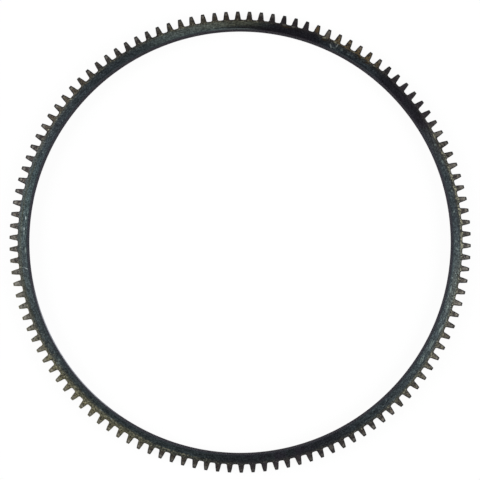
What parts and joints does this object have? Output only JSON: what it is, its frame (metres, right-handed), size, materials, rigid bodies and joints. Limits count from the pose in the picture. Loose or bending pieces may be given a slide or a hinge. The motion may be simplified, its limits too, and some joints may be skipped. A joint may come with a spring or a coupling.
{
  "type": "flywheel ring gear",
  "caption": "Steel ring with fine spur teeth round the outside and a plain bore, shrunk on to a flywheel so that a starter pinion can turn it.",
  "frame": {"origin": "centre of the bore, level with the back face that the ring lies on", "axes": "+Z along the bore axis, out of the front face with the bevelled tooth ends; +X through the middle of a tooth"},
  "size_m": [0.31, 0.31, 0.011],
  "materials": {
    "steel": "turned and hobbed steel, darkened by hardening, with straw and blue heat tints"
  },
  "bodies": {
    "root": {"ring_gear": "steel"}
  },
  "joints": []
}
